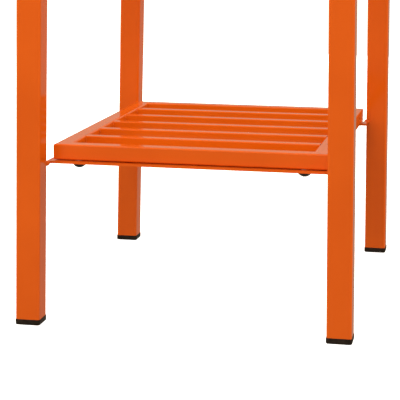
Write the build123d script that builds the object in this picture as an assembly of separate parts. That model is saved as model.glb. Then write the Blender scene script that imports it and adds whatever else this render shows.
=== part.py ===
from build123d import *
import os

# A sawhorse: a welded work trestle of square steel tube with a bolted slatted shelf.
# Millimetres. +X is to the right, +Y is to the rear, +Z is up.
# The origin is on the floor, at the middle of the footprint.
# The legs lean in towards the middle, to the left and right only.

# Whole trestle
WIDTH = 410.0
TOP_WIDTH = 386.0
DEPTH = 530.0
HEIGHT = 750.0

# Legs and top rails, one size of square tube
LEG_SIZE = 30.0
LEG_WALL = 1.5
LEG_CORNER = 3.0

# Top slats
TOP_SLAT_SIZE = 20.0
TOP_SLAT_WALL = 1.5
TOP_SLAT_CORNER = 2.0
TOP_SLAT_COUNT = 5

# Foot plugs, pushed into the lower ends of the legs
FOOT_SIZE = 31.2
FOOT_HEIGHT = 7.0
FOOT_CORNER = 3.4
FOOT_EDGE = 1.2
STEM_SIZE = 19.0
STEM_HEIGHT = 18.0
STEM_CORNER = 2.0
FIN_CLEARANCE = 0.1
FIN_THICKNESS = 1.4
FIN_CORNER = 1.6
FIN_COUNT = 4
FIN_FIRST = 3.0
FIN_PITCH = 4.4

# Shelf
SHELF_WIDTH = 337.0
SHELF_DEPTH = 437.0
SHELF_TOP = 217.0
SHELF_RAIL_WIDTH = 20.0
SHELF_RAIL_HEIGHT = 19.0
SHELF_RAIL_WALL = 1.5
SHELF_RAIL_CORNER = 2.0
SHELF_SLAT_SIZE = 14.0
SHELF_SLAT_WALL = 1.0
SHELF_SLAT_CORNER = 1.4
SHELF_SLAT_COUNT = 5

# Flat bars that carry the shelf, with a lug at each end that reaches the leg
BAR_WIDTH = 25.0
BAR_THICKNESS = 3.0
BAR_OVERLAP = 3.5
BAR_SETBACK = 10.0
LUG_WIDTH = 5.0

# Weld beads between the lugs and the legs' inner corners
BEAD_LENGTH = 8.0
BEAD_WIDTH = 7.0
BEAD_HEIGHT = 6.5
BEAD_ROUND = 2.6

# Bolts and rivet nuts that hold the shelf down, M8
BOLT_SPACING = 277.0
BOLT_RADIUS = 3.95
BOLT_LENGTH = 14.0
BOLT_HOLE_RADIUS = 4.5
HEAD_RADIUS = 9.0
HEAD_HEIGHT = 6.5
SOCKET_WIDTH = 5.0
SOCKET_DEPTH = 2.5
NUT_BORE_RADIUS = 4.0
NUT_RADIUS = 5.5
NUT_LENGTH = 15.0
NUT_COLLAR_RADIUS = 7.2
NUT_COLLAR_HEIGHT = 3.5
NUT_FLANGE_RADIUS = 6.6
NUT_FLANGE_HEIGHT = 0.8

# Worked-out places
TOP_RAIL_BOTTOM = HEIGHT - LEG_SIZE
LEAN = (WIDTH - TOP_WIDTH) / 2 / TOP_RAIL_BOTTOM
LEG_X = (WIDTH - LEG_SIZE) / 2
LEG_Y = (DEPTH - LEG_SIZE) / 2
LEG_INNER_Y = DEPTH / 2 - LEG_SIZE
SHELF_BOTTOM = SHELF_TOP - SHELF_RAIL_HEIGHT
SHELF_RAIL_Y = (SHELF_DEPTH - SHELF_RAIL_WIDTH) / 2
BAR_BOTTOM = SHELF_BOTTOM - NUT_FLANGE_HEIGHT - BAR_THICKNESS
BAR_MIDDLE = BAR_BOTTOM + BAR_THICKNESS / 2
BAR_Y = LEG_INNER_Y - BAR_SETBACK - BAR_WIDTH / 2
LEG_INNER_X = WIDTH / 2 - LEG_SIZE - LEAN * BAR_MIDDLE
BAR_LENGTH = 2 * (LEG_INNER_X + BAR_OVERLAP)


def tube_section(width, height, wall, corner):
    """Cross-section of a rectangular tube with rounded corners."""
    outer = RectangleRounded(width, height, corner)
    return outer - RectangleRounded(width - 2 * wall, height - 2 * wall, corner - wall)


def leaning(section, height):
    """A section raised by a height and moved towards +X by the legs' lean."""
    return extrude(section, amount=height * Vector(LEAN, 0, 1).length, dir=(LEAN, 0, 1))


def level_tube(width, height, wall, corner, length):
    """A tube that lies along X, centred on the origin."""
    tube = extrude(tube_section(height, width, wall, corner), amount=length)
    return Pos(-length / 2, 0, 0) * Rot(0, 90, 0) * tube


def mitred_rail(width, height, wall, corner, length):
    """A level tube with both ends cut at 45 degrees. Its long side faces -Y."""
    half = length / 2
    side = width / 2
    outline = Polygon(
        (-half, -side),
        (half, -side),
        (half - width, side),
        (width - half, side),
        align=None,
    )
    cutter = Pos(0, 0, -height) * extrude(outline, amount=2 * height)
    return level_tube(width, height, wall, corner, length) & cutter


def rail_ring(section, ring_width, ring_depth, bottom):
    """Four mitred rails round a rectangle, by the side that each one is on."""
    width, height = section[:2]
    level = bottom + height / 2
    across = mitred_rail(*section, ring_width)
    along = mitred_rail(*section, ring_depth)
    out_x = (ring_width - width) / 2
    out_y = (ring_depth - width) / 2
    return {
        "front": Pos(0, -out_y, level) * across,
        "rear": Pos(0, out_y, level) * Rot(0, 0, 180) * across,
        "left": Pos(-out_x, 0, level) * Rot(0, 0, 270) * along,
        "right": Pos(out_x, 0, level) * Rot(0, 0, 90) * along,
    }


def slat_row(section, count, inner_width, inner_depth, top):
    """Level slats with equal gaps between them, the first one nearest the front."""
    width, height = section[:2]
    pitch = (inner_depth - count * width) / (count + 1) + width
    slat = level_tube(*section, inner_width)
    middle = (count - 1) / 2
    return [Pos(0, (row - middle) * pitch, top - height / 2) * slat for row in range(count)]


def leg_place(side, row):
    """Where a leg meets the floor, turned so that it leans towards the middle."""
    return Pos(side * LEG_X, row * LEG_Y, 0) * Rot(0, 0, 90 * (side + 1))


def leg():
    """One leg, standing on its foot plug's flange and butted under the top rails."""
    section = tube_section(LEG_SIZE, LEG_SIZE, LEG_WALL, LEG_CORNER)
    tube = leaning(section, TOP_RAIL_BOTTOM - FOOT_HEIGHT)
    return Pos(LEAN * FOOT_HEIGHT, 0, FOOT_HEIGHT) * tube


def foot_plug():
    """A level flange as wide as the tube, and a leaning stem with fins that grip the bore."""
    flange = extrude(RectangleRounded(FOOT_SIZE, FOOT_SIZE, FOOT_CORNER), amount=FOOT_HEIGHT)
    flange = chamfer(flange.faces().sort_by(Axis.Z)[0].edges(), FOOT_EDGE)
    stem = leaning(RectangleRounded(STEM_SIZE, STEM_SIZE, STEM_CORNER), STEM_HEIGHT)
    plug = flange + Pos(0, 0, FOOT_HEIGHT) * stem
    fin_size = LEG_SIZE - 2 * (LEG_WALL + FIN_CLEARANCE)
    fin = leaning(RectangleRounded(fin_size, fin_size, FIN_CORNER), FIN_THICKNESS)
    for row in range(FIN_COUNT):
        height = FIN_FIRST + row * FIN_PITCH - FIN_THICKNESS / 2
        plug += Pos(LEAN * height, 0, FOOT_HEIGHT + height) * fin
    return Pos(LEAN * FOOT_HEIGHT, 0, 0) * plug


def bolt_places(row, level):
    """The two bolt centres of the front (-1) or rear (1) rail, on its middle line."""
    return [Pos(side * BOLT_SPACING / 2, row * SHELF_RAIL_Y, level) for side in (-1, 1)]


def at_all_bolts(piece, level):
    """Four copies of a piece, one at each bolt, kept as separate solids."""
    places = bolt_places(-1, level) + bolt_places(1, level)
    return Compound(children=[place * piece for place in places])


def bar_blank():
    """The front bar before drilling: a flat strip with a lug forward at each end."""
    strip = Pos(0, -BAR_Y) * Rectangle(BAR_LENGTH, BAR_WIDTH)
    lug_x = (BAR_LENGTH - LUG_WIDTH) / 2
    lug_y = LEG_INNER_Y - BAR_SETBACK / 2
    for side in (-1, 1):
        strip += Pos(side * lug_x, -lug_y) * Rectangle(LUG_WIDTH, BAR_SETBACK)
    return Pos(0, 0, BAR_BOTTOM) * extrude(strip, amount=BAR_THICKNESS)


def facing(row):
    """A front piece turned to its own row: front (-1) or rear (1)."""
    return Rot(0, 0, 90 * (row + 1))


def shelf_bar(row):
    """A flat bar with two bolt holes."""
    bar = facing(row) * bar_blank()
    hole = extrude(Circle(BOLT_HOLE_RADIUS), amount=BAR_THICKNESS)
    for place in bolt_places(row, BAR_BOTTOM):
        bar -= place * hole
    return bar


def shelf_bolt():
    """A low dome head with a hexagon socket, below a plain stand-in for the M8 thread."""
    sphere_radius = (HEAD_RADIUS**2 + HEAD_HEIGHT**2) / (2 * HEAD_HEIGHT)
    ball = Pos(0, 0, sphere_radius - HEAD_HEIGHT) * Sphere(sphere_radius)
    disc = Pos(0, 0, -HEAD_HEIGHT) * extrude(Circle(HEAD_RADIUS), amount=HEAD_HEIGHT)
    shank = extrude(Circle(BOLT_RADIUS), amount=BOLT_LENGTH)
    socket = extrude(RegularPolygon(SOCKET_WIDTH / 2, 6, major_radius=False), amount=SOCKET_DEPTH)
    return (ball & disc) + shank - Pos(0, 0, -HEAD_HEIGHT) * socket


def rivet_nut():
    """A sleeve that grips the rail's wall between a flange below and a collar above."""
    flange = Pos(0, 0, -NUT_FLANGE_HEIGHT) * extrude(
        Circle(NUT_FLANGE_RADIUS), amount=NUT_FLANGE_HEIGHT
    )
    sleeve = extrude(Circle(NUT_RADIUS), amount=NUT_LENGTH)
    collar = extrude(Circle(NUT_COLLAR_RADIUS), amount=NUT_COLLAR_HEIGHT)
    collar = fillet(collar.edges(), NUT_COLLAR_HEIGHT / 3)
    bore = extrude(Circle(NUT_BORE_RADIUS), amount=NUT_FLANGE_HEIGHT + NUT_LENGTH)
    nut = flange + sleeve + Pos(0, 0, SHELF_RAIL_WALL) * collar
    return nut - Pos(0, 0, -NUT_FLANGE_HEIGHT) * bore


def weld_bead(leg_side):
    """A bead round the joint of a front lug and the inner corner of its leg."""
    block = Box(BEAD_LENGTH, BEAD_WIDTH, BEAD_HEIGHT)
    block = fillet(block.edges(), BEAD_ROUND)
    lug_x = (BAR_LENGTH - LUG_WIDTH) / 2
    bead = Pos(leg_side * lug_x, -LEG_INNER_Y, BAR_MIDDLE) * block
    post = leaning(RectangleRounded(LEG_SIZE, LEG_SIZE, LEG_CORNER), TOP_RAIL_BOTTOM)
    return bead - leg_place(leg_side, -1) * post - bar_blank()


def legs_and_feet():
    """The four legs and the plugs in their lower ends."""
    pieces = {}
    for row, row_name in ((-1, "front"), (1, "rear")):
        for side, side_name in ((-1, "left"), (1, "right")):
            place = leg_place(side, row)
            pieces[f"leg_{row_name}_{side_name}"] = place * leg()
            pieces[f"foot_{row_name}_{side_name}"] = place * foot_plug()
    return pieces


def head():
    """The sawhorse's head: a mitred ring of rails on the leg tops, filled with slats."""
    rail_section = (LEG_SIZE, LEG_SIZE, LEG_WALL, LEG_CORNER)
    ring = rail_ring(rail_section, TOP_WIDTH, DEPTH, TOP_RAIL_BOTTOM)
    pieces = {f"top_rail_{side}": rail for side, rail in ring.items()}
    slat_section = (TOP_SLAT_SIZE, TOP_SLAT_SIZE, TOP_SLAT_WALL, TOP_SLAT_CORNER)
    inner_width = TOP_WIDTH - 2 * LEG_SIZE
    slats = slat_row(slat_section, TOP_SLAT_COUNT, inner_width, 2 * LEG_INNER_Y, HEIGHT)
    for number, slat in enumerate(slats, start=1):
        pieces[f"top_slat_{number}"] = slat
    return pieces


def shelf():
    """The shelf: a mitred ring of rails with slats, and holes for its rivet nuts."""
    rail_section = (SHELF_RAIL_WIDTH, SHELF_RAIL_HEIGHT, SHELF_RAIL_WALL, SHELF_RAIL_CORNER)
    ring = rail_ring(rail_section, SHELF_WIDTH, SHELF_DEPTH, SHELF_BOTTOM)
    hole = extrude(Circle(NUT_RADIUS), amount=SHELF_RAIL_WALL)
    for row, row_name in ((-1, "front"), (1, "rear")):
        for place in bolt_places(row, SHELF_BOTTOM):
            ring[row_name] -= place * hole
    pieces = {f"shelf_rail_{side}": rail for side, rail in ring.items()}
    slat_section = (SHELF_SLAT_SIZE, SHELF_SLAT_SIZE, SHELF_SLAT_WALL, SHELF_SLAT_CORNER)
    inner_width = SHELF_WIDTH - 2 * SHELF_RAIL_WIDTH
    inner_depth = SHELF_DEPTH - 2 * SHELF_RAIL_WIDTH
    slats = slat_row(slat_section, SHELF_SLAT_COUNT, inner_width, inner_depth, SHELF_TOP)
    for number, slat in enumerate(slats, start=1):
        pieces[f"shelf_slat_{number}"] = slat
    return pieces


def shelf_supports():
    """The two flat bars under the shelf, and the beads that weld them to the legs."""
    beads = [facing(row) * weld_bead(side) for row in (-1, 1) for side in (-1, 1)]
    return {
        "shelf_bar_front": shelf_bar(-1),
        "shelf_bar_rear": shelf_bar(1),
        "shelf_bar_welds": Compound(children=beads),
    }


def fasteners():
    """The bolts that come up through the bars, and the rivet nuts they screw into."""
    return {
        "shelf_bolts": at_all_bolts(shelf_bolt(), BAR_BOTTOM),
        "shelf_rivet_nuts": at_all_bolts(rivet_nut(), SHELF_BOTTOM),
    }


os.makedirs("parts", exist_ok=True)
trestle = {**legs_and_feet(), **head(), **shelf_supports(), **shelf(), **fasteners()}
for node, piece in trestle.items():
    export_step(piece, f"parts/{node}.step")
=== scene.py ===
from math import cos, pi, radians, sin, sqrt

import bpy
from mathutils import Matrix, Vector


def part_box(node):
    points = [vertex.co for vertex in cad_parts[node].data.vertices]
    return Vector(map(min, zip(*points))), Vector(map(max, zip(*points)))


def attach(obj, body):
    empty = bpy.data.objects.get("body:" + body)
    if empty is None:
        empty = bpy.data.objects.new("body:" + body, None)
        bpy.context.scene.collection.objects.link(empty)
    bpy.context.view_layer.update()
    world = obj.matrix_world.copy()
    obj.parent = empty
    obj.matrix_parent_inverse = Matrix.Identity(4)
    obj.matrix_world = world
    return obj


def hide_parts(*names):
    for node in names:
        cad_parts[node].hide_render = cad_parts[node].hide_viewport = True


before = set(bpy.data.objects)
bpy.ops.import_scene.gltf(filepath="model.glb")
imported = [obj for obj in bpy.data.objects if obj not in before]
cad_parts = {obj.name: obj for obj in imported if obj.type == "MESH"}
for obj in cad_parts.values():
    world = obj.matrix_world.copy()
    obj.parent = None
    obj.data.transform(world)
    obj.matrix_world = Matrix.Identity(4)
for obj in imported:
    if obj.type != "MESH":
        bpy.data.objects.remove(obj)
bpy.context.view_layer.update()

# ---------------------------------------------------------------------------
# The camera stands in front of the trestle and a little to its right, at about
# half a metre up, and looks down at the shelf and the feet. Its lens is long,
# so the four legs stay nearly parallel.
MM = 0.001
LENS_MM = 136.59
SENSOR_MM = 36.0
STAND_RIGHT_MM = 360.9
STAND_FRONT_MM = 1976.8
STAND_UP_MM = 498.1
TURN_LEFT_DEG = 11.161
LOOK_DOWN_DEG = 10.815
ROLL_DEG = 0.471

view = bpy.data.cameras.new("studio_camera")
view.lens = LENS_MM
view.sensor_width = SENSOR_MM
camera = bpy.data.objects.new("studio_camera", view)
camera.matrix_world = (
    Matrix.Translation(Vector((STAND_RIGHT_MM, -STAND_FRONT_MM, STAND_UP_MM)) * MM)
    @ Matrix.Rotation(radians(TURN_LEFT_DEG), 4, "Z")
    @ Matrix.Rotation(radians(90 - LOOK_DOWN_DEG), 4, "X")
    @ Matrix.Rotation(radians(ROLL_DEG), 4, "Z")
)
bpy.context.scene.collection.objects.link(camera)
bpy.context.scene.camera = camera
bpy.context.scene.view_settings.view_transform = "Standard"

# ---------------------------------------------------------------------------
# The studio is a wide white floor inside white walls, under a pale sky, with a
# softbox on each side of the trestle. Floor, walls and boxes are kept out of the
# paint's reflections, so the tubes stay deep in colour.
FLOOR_HALF_M = 30.0
FLOOR_WHITE = (0.86, 0.86, 0.86, 1)
FLOOR_GLOW = 0.90
WALL_HEIGHT_M = 25.0
SKY_ABOVE = (0.98, 0.81, 0.56, 1)
SKY_BELOW = (0.34, 0.31, 0.245, 1)
SKY_FULL_AT = 0.70


def mesh_piece(name, points, faces, smooth=True):
    """A new mesh object with these points, in metres, and these faces."""
    mesh = bpy.data.meshes.new(name)
    mesh.from_pydata(points, [], faces)
    mesh.update()
    if smooth:
        mesh.polygons.foreach_set("use_smooth", [True] * len(mesh.polygons))
    piece = bpy.data.objects.new(name, mesh)
    bpy.context.scene.collection.objects.link(piece)
    return piece


def new_finish(name):
    """A material with a Principled shader, and that shader and its node tree."""
    finish = bpy.data.materials.new(name)
    finish.use_nodes = True
    shader = finish.node_tree.nodes["Principled BSDF"]
    return finish, shader, finish.node_tree


floor_sheet, floor_shader, _ = new_finish("studio_floor_white")
floor_shader.inputs["Base Color"].default_value = FLOOR_WHITE
floor_shader.inputs["Roughness"].default_value = 0.9
floor_shader.inputs["Specular IOR Level"].default_value = 0
floor_shader.inputs["Emission Color"].default_value = FLOOR_WHITE
floor_shader.inputs["Emission Strength"].default_value = FLOOR_GLOW
corners = [(-1, -1), (1, -1), (1, 1), (-1, 1)]
floor = mesh_piece(
    "studio_floor",
    [(x * FLOOR_HALF_M, y * FLOOR_HALF_M, 0) for x, y in corners],
    [(0, 1, 2, 3)],
)
floor.data.materials.append(floor_sheet)
floor.visible_glossy = False
floor.visible_diffuse = False

wall_sheet, wall_shader, _ = new_finish("studio_wall_white")
wall_shader.inputs["Base Color"].default_value = (0, 0, 0, 1)
wall_shader.inputs["Specular IOR Level"].default_value = 0
wall_shader.inputs["Emission Color"].default_value = (1, 1, 1, 1)
wall_shader.inputs["Emission Strength"].default_value = 1.0
wall = mesh_piece(
    "studio_wall",
    [(x * FLOOR_HALF_M, y * FLOOR_HALF_M, z) for z in (0, WALL_HEIGHT_M) for x, y in corners],
    [(side, (side + 1) % 4, (side + 1) % 4 + 4, side + 4) for side in range(4)],
    smooth=False,
)
wall.data.materials.append(wall_sheet)
wall.visible_glossy = False
wall.visible_diffuse = False
wall.visible_shadow = False

sky = bpy.data.worlds.new("studio_sky")
sky.use_nodes = True
bpy.context.scene.world = sky
sky_nodes, sky_links = sky.node_tree.nodes, sky.node_tree.links
direction = sky_nodes.new("ShaderNodeTexCoord")
height_of = sky_nodes.new("ShaderNodeSeparateXYZ")
horizon = sky_nodes.new("ShaderNodeMapRange")
horizon.inputs["From Min"].default_value = 0.0
horizon.inputs["From Max"].default_value = SKY_FULL_AT
shade = sky_nodes.new("ShaderNodeMix")
shade.data_type = "RGBA"
shade.inputs["A"].default_value = SKY_BELOW
shade.inputs["B"].default_value = SKY_ABOVE
sky_links.new(direction.outputs["Generated"], height_of.inputs[0])
sky_links.new(height_of.outputs["Z"], horizon.inputs["Value"])
sky_links.new(horizon.outputs["Result"], shade.inputs["Factor"])
sky_links.new(shade.outputs["Result"], sky_nodes["Background"].inputs["Color"])

shelf_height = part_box("shelf_rail_front")[1][2]
for softbox_name, place, size_m, watts in (
    ("softbox_front", (-0.2, -2.4, 1.7), 2.0, 53),
    ("softbox_right", (2.8, 0.0, 0.9), 1.8, 40),
    ("softbox_left", (-2.8, 0.0, 1.2), 1.8, 48),
    ("softbox_rear", (0.4, 3.0, 1.1), 2.2, 60),
):
    softbox = bpy.data.lights.new(softbox_name, "AREA")
    softbox.size = size_m
    softbox.energy = watts
    lamp = bpy.data.objects.new(softbox_name, softbox)
    lamp.location = place
    lamp.visible_glossy = False
    aim = Vector((0, 0, shelf_height)) - lamp.location
    lamp.rotation_euler = aim.to_track_quat("-Z", "Y").to_euler()
    bpy.context.scene.collection.objects.link(lamp)

# ---------------------------------------------------------------------------
# The legs are four lengths of 30 mm square steel tube, cut level at both ends
# and leaning in a little to the left and right. They are powder coated in a
# glossy orange, after welding.
ORANGE = (0.69, 0.103, 0.004)
ORANGE_DEEP = (0.645, 0.092, 0.003)
COAT_TONE_PER_M = 9.0
COAT_SHEEN_PER_M = 60.0
COAT_ROUGHNESS = (0.06, 0.11)
PEEL_PER_M = 420.0
PEEL_DEPTH_MM = 0.02


def noise(tree, per_metre, detail, shift_up=0.0):
    """A cloud of grey values fixed to the object, shifted so that two clouds don't match."""
    place = tree.nodes.new("ShaderNodeTexCoord")
    cloud = tree.nodes.new("ShaderNodeTexNoise")
    cloud.inputs["Scale"].default_value = per_metre
    cloud.inputs["Detail"].default_value = detail
    shift = tree.nodes.new("ShaderNodeVectorMath")
    shift.inputs[1].default_value = (0, 0, shift_up)
    tree.links.new(place.outputs["Object"], shift.inputs[0])
    tree.links.new(shift.outputs[0], cloud.inputs["Vector"])
    return cloud.outputs["Fac"]


def blend_colours(tree, shader, cloud, low, high, dark, light):
    """Base colour that runs from dark to light as the cloud goes from low to high."""
    ramp = tree.nodes.new("ShaderNodeValToRGB")
    ramp.color_ramp.elements[0].position = low
    ramp.color_ramp.elements[0].color = (*dark, 1)
    ramp.color_ramp.elements[1].position = high
    ramp.color_ramp.elements[1].color = (*light, 1)
    tree.links.new(cloud, ramp.inputs["Fac"])
    tree.links.new(ramp.outputs["Color"], shader.inputs["Base Color"])


def relief(tree, shader, cloud, depth_mm):
    """Bumps of this depth where the cloud is light."""
    bump = tree.nodes.new("ShaderNodeBump")
    bump.inputs["Strength"].default_value = 1.0
    bump.inputs["Distance"].default_value = depth_mm * MM
    tree.links.new(cloud, bump.inputs["Height"])
    tree.links.new(bump.outputs["Normal"], shader.inputs["Normal"])


def uneven_roughness(tree, shader, cloud, low, high):
    """Roughness that runs from low to high as the cloud goes from dark to light."""
    spread = tree.nodes.new("ShaderNodeMapRange")
    spread.inputs["To Min"].default_value = low
    spread.inputs["To Max"].default_value = high
    tree.links.new(cloud, spread.inputs["Value"])
    tree.links.new(spread.outputs["Result"], shader.inputs["Roughness"])


orange_coat, coat_shader, coat_tree = new_finish("orange_powder_coat")
coat_tone = noise(coat_tree, COAT_TONE_PER_M, 3.0)
blend_colours(coat_tree, coat_shader, coat_tone, 0.35, 0.65, ORANGE_DEEP, ORANGE)
relief(coat_tree, coat_shader, noise(coat_tree, PEEL_PER_M, 2.0), PEEL_DEPTH_MM)
coat_sheen = noise(coat_tree, COAT_SHEEN_PER_M, 3.0, shift_up=2.0)
uneven_roughness(coat_tree, coat_shader, coat_sheen, *COAT_ROUGHNESS)
coat_shader.inputs["Specular IOR Level"].default_value = 0.35


def finish_cad(node, finish):
    """Gives a CAD node its finish and its material slot."""
    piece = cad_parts[node]
    piece.data.materials.clear()
    piece.data.materials.append(finish)
    return piece


side_names = ("front", "rear", "left", "right")
corner_names = [f"{row}_{side}" for row in ("front", "rear") for side in ("left", "right")]
for corner in corner_names:
    finish_cad(f"leg_{corner}", orange_coat)

# ---------------------------------------------------------------------------
# The head is a ring of four 30 mm square tubes, mitred and welded on the leg
# tops, with five 20 mm square tubes across it, flush with the ring's top. Each
# leg is welded to the ring along its two inner faces.
HEAD_FILLET_MM = 3.0
LEG_ROUNDING_MM = 3.0
HEAD_SLATS = 5
HEAD_SLAT_ROUNDING_MM = 2.0
FILLET_MM = 1.6
FILLET_ARC_STEPS = 5
FILLET_RINGS_PER_MM = 2
FILLET_RIPPLE_MM = 1.5
FILLET_RIPPLE_SHARE = 0.07
FILLET_HOLLOW = 0.22
FILLET_END_SIZE = 0.25
FILLET_END_SLOPE = 6.0


def fillet_weld(name, start, end, away_a, away_b, leg_mm):
    """A fillet of weld along an inner corner, rippled, between two flat faces."""
    start, end = Vector(start), Vector(end)
    away_a, away_b = Vector(away_a), Vector(away_b)
    run = end - start
    rings = int(run.length / MM * FILLET_RINGS_PER_MM)
    points, faces = [], []
    for ring in range(rings + 1):
        along = ring / rings
        spot = start + run * along
        taper = min(1.0, FILLET_END_SIZE + FILLET_END_SLOPE * min(along, 1 - along))
        phase = 2 * pi * along * run.length / MM / FILLET_RIPPLE_MM
        ripple = 1 + FILLET_RIPPLE_SHARE * cos(phase)
        reach = leg_mm * MM * taper * ripple
        points.append(tuple(spot))
        for step in range(FILLET_ARC_STEPS + 1):
            angle = pi / 2 * step / FILLET_ARC_STEPS
            sag = 1 - FILLET_HOLLOW * sin(2 * angle)
            points.append(tuple(
                spot + reach * sag * (cos(angle) * away_a + sin(angle) * away_b)
            ))
    girth = FILLET_ARC_STEPS + 2
    for ring in range(rings):
        for place in range(girth):
            here = ring * girth + place
            beside = ring * girth + (place + 1) % girth
            faces.append((here, beside, beside + girth, here + girth))
    faces.append(tuple(reversed(range(girth))))
    faces.append(tuple(range(rings * girth, (rings + 1) * girth)))
    piece = mesh_piece(name, points, faces)
    piece.data.materials.append(orange_coat)
    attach(piece, "root")
    return piece


def slat_welds(prefix, count, rounding_mm):
    """Fillets down both sides of both ends of every slat."""
    for number in range(1, count + 1):
        low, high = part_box(f"{prefix}_slat_{number}")
        bottom, top = low[2] + rounding_mm * MM, high[2] - rounding_mm * MM
        for end_name, x, inward in (("left", low[0], 1), ("right", high[0], -1)):
            for face_name, y, outward in (("front", low[1], -1), ("rear", high[1], 1)):
                fillet_weld(
                    f"{prefix}_slat_{number}_weld_{end_name}_{face_name}",
                    (x, y, bottom), (x, y, top), (inward, 0, 0), (0, outward, 0), FILLET_MM,
                )


for side in side_names:
    finish_cad(f"top_rail_{side}", orange_coat)
for number in range(1, HEAD_SLATS + 1):
    finish_cad(f"top_slat_{number}", orange_coat)
slat_welds("top", HEAD_SLATS, HEAD_SLAT_ROUNDING_MM)

ring_low, ring_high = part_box("top_rail_front")
tube = ring_high[2] - ring_low[2]
for corner in corner_names:
    side = -1 if "left" in corner else 1
    row = -1 if "front" in corner else 1
    leg_low, leg_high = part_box(f"leg_{corner}")
    inner_x = side * (ring_high[0] - tube)
    inner_y = leg_high[1] if row < 0 else leg_low[1]
    rounding = row * LEG_ROUNDING_MM * MM
    fillet_weld(
        f"leg_weld_side_{corner}",
        (inner_x, inner_y + rounding, ring_low[2]),
        (inner_x, inner_y + row * tube - rounding, ring_low[2]),
        (-side, 0, 0), (0, 0, -1), HEAD_FILLET_MM,
    )
    rounding = side * LEG_ROUNDING_MM * MM
    fillet_weld(
        f"leg_weld_row_{corner}",
        (inner_x + rounding, inner_y, ring_low[2]),
        (inner_x + side * tube - rounding, inner_y, ring_low[2]),
        (0, -row, 0), (0, 0, -1), HEAD_FILLET_MM,
    )

# ---------------------------------------------------------------------------
# Two 25 x 3 mm flat bars carry the shelf, one at the front and one at the rear.
# A short lug at each end of a bar reaches the inner corner of a leg, and a weld
# runs round that joint. Bars and welds were coated together with the legs.
BEAD_LONG_MM = 8.0
BEAD_WIDE_MM = 7.0
BEAD_RIPPLES = 5
BEAD_RIPPLE_DEPTH = 0.07
BEAD_SQUARENESS = 0.62
BEAD_END_POWER = 2.6
BEAD_END_GIRTH = 0.02
BEAD_RINGS = 26
BEAD_SPOKES = 24


def signed_power(value, power):
    """The size of a value raised to a power, with its sign kept."""
    return (abs(value) ** power) * (1 if value >= 0 else -1)


def weld_puddle(name, low, high):
    """A rounded lump of weld that fills a box, with the ripples of a slow bead along X."""
    middle = [(a + b) / 2 for a, b in zip(low, high)]
    half = [(b - a) / 2 for a, b in zip(low, high)]
    points, faces = [], []
    for ring in range(BEAD_RINGS + 1):
        along = -1 + 2 * ring / BEAD_RINGS
        girth = max(BEAD_END_GIRTH, 1 - abs(along) ** BEAD_END_POWER) ** 0.5
        girth *= 1 - BEAD_RIPPLE_DEPTH * (0.5 + 0.5 * cos(along * BEAD_RIPPLES * pi))
        for spoke in range(BEAD_SPOKES):
            angle = 2 * pi * spoke / BEAD_SPOKES
            points.append((
                middle[0] + half[0] * along,
                middle[1] + half[1] * girth * signed_power(cos(angle), BEAD_SQUARENESS),
                middle[2] + half[2] * girth * signed_power(sin(angle), BEAD_SQUARENESS),
            ))
    for ring in range(BEAD_RINGS):
        first = ring * BEAD_SPOKES
        for spoke in range(BEAD_SPOKES):
            here, beside = first + spoke, first + (spoke + 1) % BEAD_SPOKES
            faces.append((here, here + BEAD_SPOKES, beside + BEAD_SPOKES, beside))
    last = BEAD_RINGS * BEAD_SPOKES
    faces.append(tuple(range(BEAD_SPOKES)))
    faces.append(tuple(reversed(range(last, last + BEAD_SPOKES))))
    return mesh_piece(name, points, faces)


for row in ("front", "rear"):
    finish_cad(f"shelf_bar_{row}", orange_coat)

welds_low, welds_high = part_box("shelf_bar_welds")
for corner in corner_names:
    left, front = "left" in corner, "front" in corner
    near_x = welds_low[0] if left else welds_high[0] - BEAD_LONG_MM * MM
    near_y = welds_low[1] if front else welds_high[1] - BEAD_WIDE_MM * MM
    puddle = weld_puddle(
        f"bar_weld_{corner}",
        (near_x, near_y, welds_low[2]),
        (near_x + BEAD_LONG_MM * MM, near_y + BEAD_WIDE_MM * MM, welds_high[2]),
    )
    puddle.data.materials.append(orange_coat)
    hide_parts("shelf_bar_welds")
    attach(puddle, "root")

# ---------------------------------------------------------------------------
# Each foot is one black polyethylene plug, moulded in one piece: a flange as
# wide as the tube that stands on the floor, and a stem with four thin fins that
# is driven into the end of the leg and grips its bore.
BLACK = (0.012, 0.0075, 0.005)
BLACK_WORN = (0.026, 0.018, 0.013)
PLUG_TONE_PER_M = 120.0
PLUG_SHEEN_PER_M = 200.0
PLUG_ROUGHNESS = (0.38, 0.52)
PLUG_GRAIN_PER_M = 2600.0
PLUG_GRAIN_MM = 0.03
FLANGE_RISE_MM = 7.0
FLANGE_HALF_MM = 15.6
FLANGE_ROUND_MM = 3.4
STEM_HALF_MM = 9.5
STEM_ROUND_MM = 2.0
STEM_BEVEL_MM = 0.8
FIN_HALF_MM = 13.4
FIN_ROUND_MM = 1.6
FIN_BEVEL_MM = 0.3
FIN_THICK_MM = 1.4
FIN_COUNT = 4
FIN_FIRST_MM = 3.0
FIN_PITCH_MM = 4.4
STEM_RISE_MM = 18.0
CORNER_STEPS = 6


def rounded_square(half, corner_radius):
    """Points round a square of this half width, with rounded corners."""
    points = []
    for quarter in range(4):
        for step in range(CORNER_STEPS + 1):
            angle = (quarter + step / CORNER_STEPS) * pi / 2
            turn = (quarter + 0.5) * pi / 2
            middle = (half - corner_radius) * sqrt(2)
            points.append((
                middle * cos(turn) + corner_radius * cos(angle),
                middle * sin(turn) + corner_radius * sin(angle),
            ))
    return points


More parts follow.
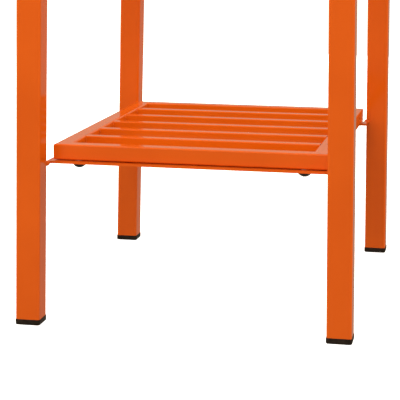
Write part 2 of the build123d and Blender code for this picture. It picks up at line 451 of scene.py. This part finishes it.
def stacked_squares(name, levels, centre, lean):
    """A closed skin through rounded squares, each one (height, half width, corner) in mm."""
    points, faces = [], []
    for height, half, corner_radius in levels:
        leaned = lean * max(0, height - FLANGE_RISE_MM)
        for x, y in rounded_square(half, corner_radius):
            points.append((
                (centre[0] + leaned + x) * MM,
                (centre[1] + y) * MM,
                height * MM,
            ))
    ring = len(points) // len(levels)
    for level in range(len(levels) - 1):
        for place in range(ring):
            low, low_next = level * ring + place, level * ring + (place + 1) % ring
            faces.append((low, low_next, low_next + ring, low + ring))
    faces.append(tuple(reversed(range(ring))))
    faces.append(tuple(range(len(points) - ring, len(points))))
    return mesh_piece(name, points, faces)


def plug_levels():
    """The plug's outline from the floor to the top of its stem."""
    levels = [
        (0.0, FLANGE_HALF_MM - 1.3, FLANGE_ROUND_MM - 1.0),
        (0.15, FLANGE_HALF_MM - 0.8, FLANGE_ROUND_MM - 0.6),
        (0.7, FLANGE_HALF_MM - 0.25, FLANGE_ROUND_MM - 0.2),
        (1.3, FLANGE_HALF_MM - 0.1, FLANGE_ROUND_MM),
        (FLANGE_RISE_MM - 0.7, FLANGE_HALF_MM, FLANGE_ROUND_MM),
        (FLANGE_RISE_MM - 0.35, FLANGE_HALF_MM - 0.05, FLANGE_ROUND_MM),
        (FLANGE_RISE_MM - 0.1, FLANGE_HALF_MM - 0.2, FLANGE_ROUND_MM),
        (FLANGE_RISE_MM, FLANGE_HALF_MM - 0.5, FLANGE_ROUND_MM),
        (FLANGE_RISE_MM, STEM_HALF_MM, STEM_ROUND_MM),
    ]
    for row in range(FIN_COUNT):
        middle = FLANGE_RISE_MM + FIN_FIRST_MM + row * FIN_PITCH_MM
        under, over = middle - FIN_THICK_MM / 2, middle + FIN_THICK_MM / 2
        levels += [
            (under, STEM_HALF_MM, STEM_ROUND_MM),
            (under, FIN_HALF_MM - FIN_BEVEL_MM, FIN_ROUND_MM),
            (middle, FIN_HALF_MM, FIN_ROUND_MM),
            (over, FIN_HALF_MM - FIN_BEVEL_MM, FIN_ROUND_MM),
            (over, STEM_HALF_MM, STEM_ROUND_MM),
        ]
    top = FLANGE_RISE_MM + STEM_RISE_MM
    return levels + [
        (top - STEM_BEVEL_MM, STEM_HALF_MM, STEM_ROUND_MM),
        (top, STEM_HALF_MM - STEM_BEVEL_MM, 1.4),
    ]


plug_black, plug_shader, plug_tree = new_finish("black_polyethylene")
plug_tone = noise(plug_tree, PLUG_TONE_PER_M, 4.0)
blend_colours(plug_tree, plug_shader, plug_tone, 0.40, 0.75, BLACK, BLACK_WORN)
relief(plug_tree, plug_shader, noise(plug_tree, PLUG_GRAIN_PER_M, 2.0), PLUG_GRAIN_MM)
plug_sheen = noise(plug_tree, PLUG_SHEEN_PER_M, 3.0, shift_up=1.0)
uneven_roughness(plug_tree, plug_shader, plug_sheen, *PLUG_ROUGHNESS)
plug_shader.inputs["Specular IOR Level"].default_value = 0.15

for corner in corner_names:
    low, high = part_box(f"foot_{corner}")
    leg_low, leg_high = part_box(f"leg_{corner}")
    leg_run = (leg_high[0] - leg_low[0]) - (leg_high[1] - leg_low[1])
    lean = leg_run / (leg_high[2] - leg_low[2])
    middle_x = low[0] / MM + FLANGE_HALF_MM
    if "right" in corner:
        lean = -lean
        middle_x = high[0] / MM - FLANGE_HALF_MM
    middle = (middle_x, (low[1] + high[1]) / 2 / MM)
    foot = stacked_squares(f"foot_plug_{corner}", plug_levels(), middle, lean)
    foot.data.materials.append(plug_black)
    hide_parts(f"foot_{corner}")
    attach(foot, "root")

# ---------------------------------------------------------------------------
# The shelf is a ring of four 20 x 19 mm tubes, mitred and welded, with five
# 14 mm square tubes across it, flush with the ring's top. A thin fillet of weld
# runs down each side of every slat end. The whole shelf is coated orange.
SHELF_SLATS = 5
SHELF_SLAT_ROUNDING_MM = 1.4

for side in side_names:
    finish_cad(f"shelf_rail_{side}", orange_coat)
for number in range(1, SHELF_SLATS + 1):
    finish_cad(f"shelf_slat_{number}", orange_coat)
slat_welds("shelf", SHELF_SLATS, SHELF_SLAT_ROUNDING_MM)

# ---------------------------------------------------------------------------
# Four M8 furniture bolts with low dome heads come up through the flat bars into
# rivet nuts set in the shelf's front and rear tubes. The bolts are black oxide
# steel, and the rivet nuts are zinc plated.
OXIDE_BLACK = (0.017, 0.015, 0.014)
OXIDE_WORN = (0.030, 0.026, 0.024)
OXIDE_TONE_PER_M = 500.0
OXIDE_ROUGHNESS = (0.28, 0.42)
ZINC_BRIGHT = (0.62, 0.60, 0.53)
ZINC_DULL = (0.50, 0.49, 0.43)
ZINC_TONE_PER_M = 700.0
ZINC_ROUGHNESS = (0.25, 0.45)
STEEL_SHEEN_PER_M = 900.0

black_oxide, oxide_shader, oxide_tree = new_finish("black_oxide_steel")
oxide_tone = noise(oxide_tree, OXIDE_TONE_PER_M, 3.0)
blend_colours(oxide_tree, oxide_shader, oxide_tone, 0.4, 0.8, OXIDE_BLACK, OXIDE_WORN)
oxide_shader.inputs["Metallic"].default_value = 0.4
oxide_sheen = noise(oxide_tree, STEEL_SHEEN_PER_M, 2.0, shift_up=1.0)
uneven_roughness(oxide_tree, oxide_shader, oxide_sheen, *OXIDE_ROUGHNESS)
finish_cad("shelf_bolts", black_oxide)

zinc_plate, zinc_shader, zinc_tree = new_finish("zinc_plate")
zinc_tone = noise(zinc_tree, ZINC_TONE_PER_M, 3.0)
blend_colours(zinc_tree, zinc_shader, zinc_tone, 0.35, 0.7, ZINC_DULL, ZINC_BRIGHT)
zinc_shader.inputs["Metallic"].default_value = 1.0
zinc_sheen = noise(zinc_tree, STEEL_SHEEN_PER_M, 2.0, shift_up=1.0)
uneven_roughness(zinc_tree, zinc_shader, zinc_sheen, *ZINC_ROUGHNESS)
finish_cad("shelf_rivet_nuts", zinc_plate)
